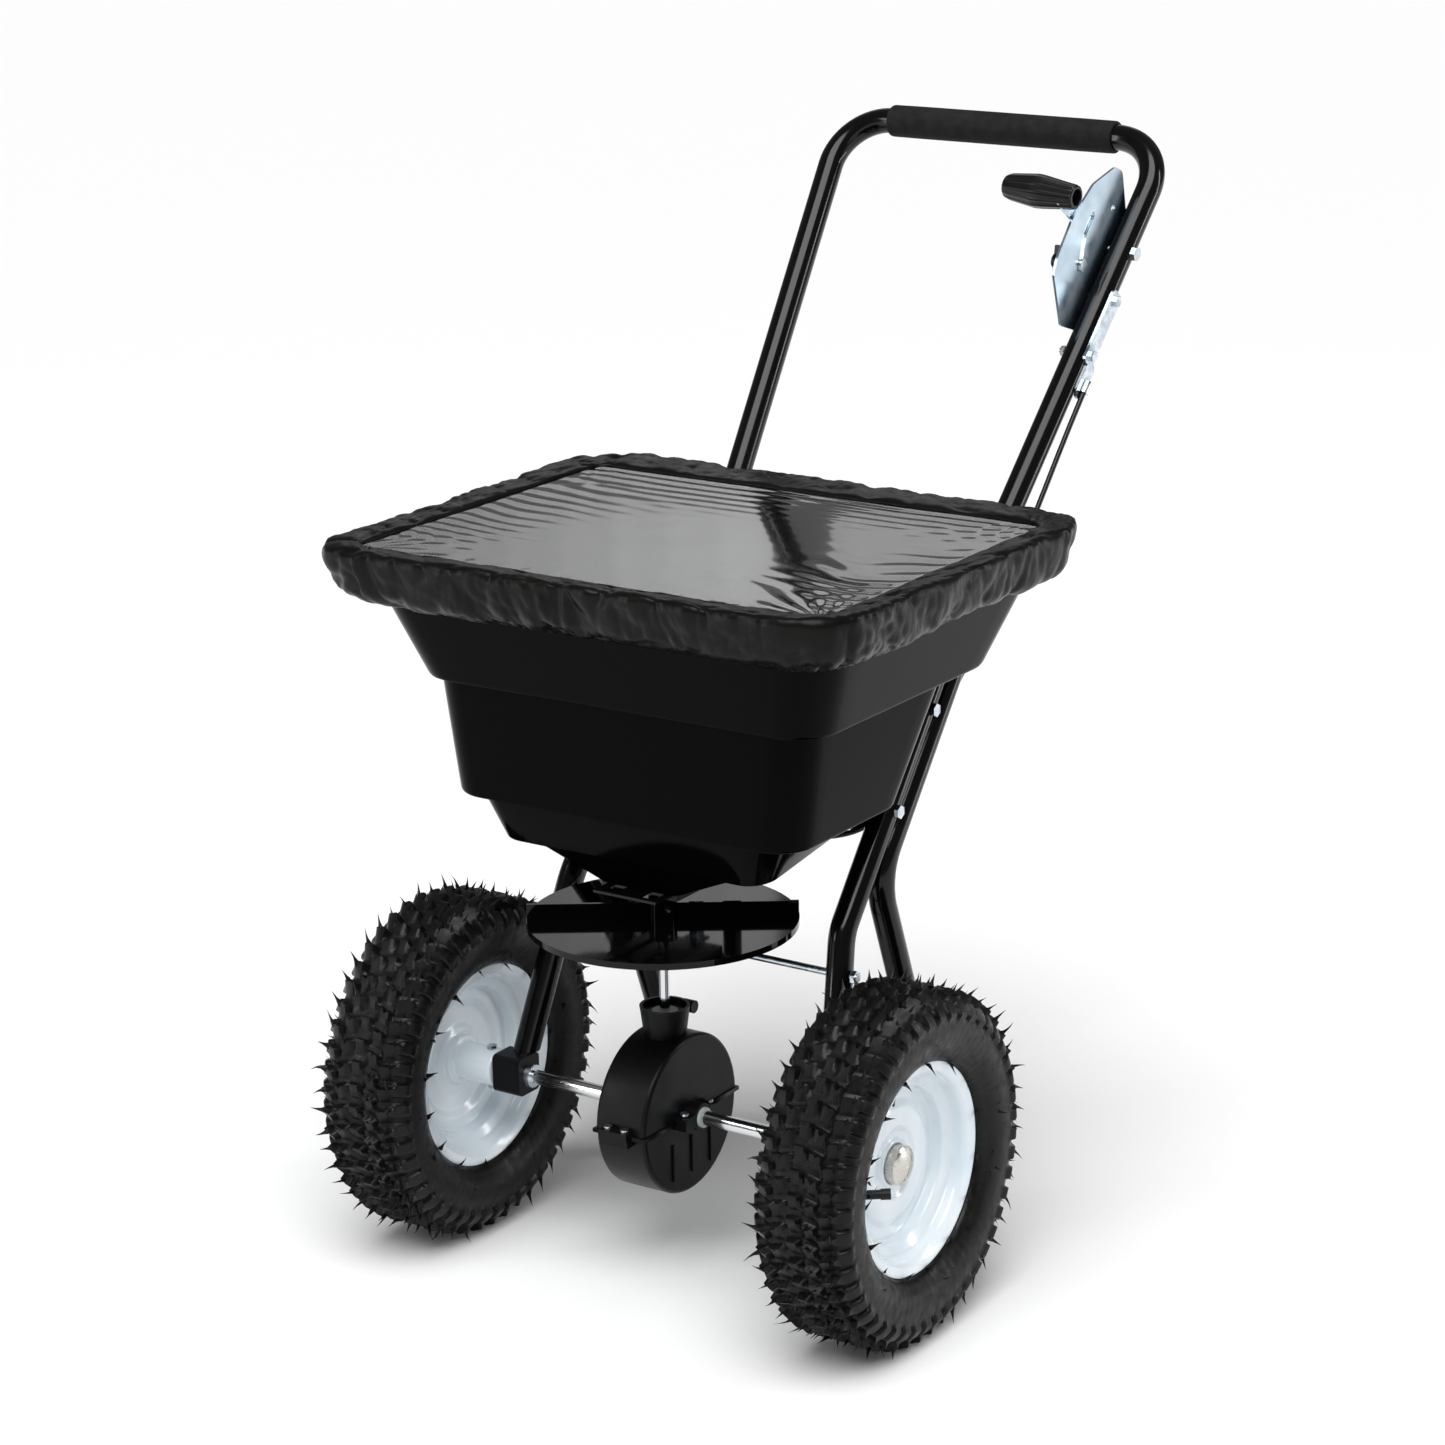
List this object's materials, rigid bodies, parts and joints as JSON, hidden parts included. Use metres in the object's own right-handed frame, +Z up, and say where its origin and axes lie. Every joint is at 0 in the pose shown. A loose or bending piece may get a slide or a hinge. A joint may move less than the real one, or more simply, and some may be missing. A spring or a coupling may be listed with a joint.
{
  "type": "broadcast spreader",
  "caption": "Walk-behind broadcast spreader: stepped hopper with a fitted rain cover, pneumatic wheels, geared impeller, stand legs and a leaning handle with a lever flow control.",
  "frame": {"origin": "point on the ground straight under the middle of the axle", "axes": "+X along the axle to the freely turning wheel, +Y backwards to the handle, +Z up"},
  "size_m": [0.5754, 0.7952, 1.005],
  "materials": {
    "frame_paint": "gloss",
    "foam": "matt",
    "tyre_rubber": "matt",
    "soft_rubber": "satin",
    "wheel_paint": "gloss",
    "bright_steel": "polished",
    "zinc_steel": "zinc plated",
    "gear_iron": "machined",
    "black_plastic": "gloss",
    "gearbox_plastic": "satin",
    "pale_plastic": "satin",
    "cover_cloth": "woven",
    "clear_vinyl": "clear flexible sheet",
    "blue_paint": "gloss",
    "cable_black": "satin"
  },
  "bodies": {
    "frame": {"axle_blocks": "gearbox_plastic", "axle_bushes": "pale_plastic", "cable_anchor": "black_plastic", "cable_bracket": "zinc_steel", "cable_housing": "cable_black", "control_bolts": "zinc_steel", "control_plate": "zinc_steel", "cross_rod": "zinc_steel", "frame_bolts": "zinc_steel", "front_leg_left": "frame_paint", "front_leg_right": "frame_paint", "gate_guides": "black_plastic", "gearbox_bushes": "pale_plastic", "gearbox_lower": "gearbox_plastic", "gearbox_screws": "zinc_steel", "gearbox_upper": "gearbox_plastic", "handle_grip": "foam", "handle_tube": "frame_paint", "hopper": "black_plastic", "hopper_brackets": "frame_paint", "hopper_bush": "pale_plastic", "hopper_crossbar": "frame_paint", "hopper_screws": "zinc_steel", "leg_plugs": "black_plastic", "pivot_bolt": "zinc_steel", "shaft_bush": "pale_plastic", "stand_feet": "soft_rubber", "stand_leg_left": "frame_paint", "stand_leg_right": "frame_paint"},
    "drive_axle": {"axle": "bright_steel", "axle_collars": "zinc_steel", "axle_clips": "zinc_steel", "drive_bolt": "zinc_steel", "crown_gear": "gear_iron", "crown_pin": "zinc_steel", "hub_cap_left": "bright_steel", "inner_tube_left": "soft_rubber", "rim_left": "wheel_paint", "tyre_left": "tyre_rubber", "valve_stem_left": "soft_rubber", "wheel_bushes_left": "pale_plastic"},
    "right_wheel": {"hub_cap_right": "bright_steel", "inner_tube_right": "soft_rubber", "rim_right": "wheel_paint", "tyre_right": "tyre_rubber", "valve_stem_right": "soft_rubber", "wheel_bushes_right": "pale_plastic"},
    "impeller_unit": {"impeller_shaft": "bright_steel", "impeller": "black_plastic", "impeller_pins": "zinc_steel", "agitator": "zinc_steel", "pinion_gear": "gear_iron"},
    "gate": {"gate_plate": "frame_paint", "gate_wire": "zinc_steel"},
    "lever": {"control_lever": "blue_paint", "lever_grip": "black_plastic"},
    "stop": {"stop_bolt": "zinc_steel"},
    "knob": {"stop_knob": "black_plastic"},
    "cover": {"cover_skirt": "cover_cloth", "cover_window": "clear_vinyl"}
  },
  "joints": [
    {"name": "axle_turn", "type": "hinge", "parent": "frame", "child": "drive_axle", "pos_m": [0, 0, 0.165], "axis": [1, 0, 0], "continuous": true},
    {"name": "right_wheel_turn", "type": "hinge", "parent": "drive_axle", "child": "right_wheel", "pos_m": [0.239, 0, 0.165], "axis": [1, 0, 0], "continuous": true},
    {"name": "impeller_turn", "type": "hinge", "parent": "frame", "child": "impeller_unit", "pos_m": [0, 0, 0.34], "axis": [0, 0, 1], "continuous": true},
    {"name": "lever_swing", "type": "hinge", "parent": "frame", "child": "lever", "pos_m": [0.1739, 0.5374, 0.893], "axis": [0.997, -0.0486, -0.0608], "range_deg": [0, 27]},
    {"name": "gate_slide", "type": "slide", "parent": "frame", "child": "gate", "axis": [0, 1, 0], "range_m": [0, 0.024]},
    {"name": "stop_swing", "type": "hinge", "parent": "frame", "child": "stop", "pos_m": [0.1739, 0.5374, 0.893], "axis": [0.997, -0.0486, -0.0608], "range_deg": [-27, 0]},
    {"name": "knob_turn", "type": "hinge", "parent": "stop", "child": "knob", "pos_m": [0.17091, 0.48496, 0.88595], "axis": [0.997, -0.0486, -0.0608], "continuous": true},
    {"name": "cover_lift", "type": "slide", "parent": "frame", "child": "cover", "axis": [0, 0, 1], "range_m": [0, 0.15]}
  ],
  "couplings": [
    {"joint": "impeller_turn", "follows": "axle_turn", "ratio": 4},
    {"joint": "gate_slide", "follows": "lever_swing", "m_per_rad": 0.05093}
  ]
}
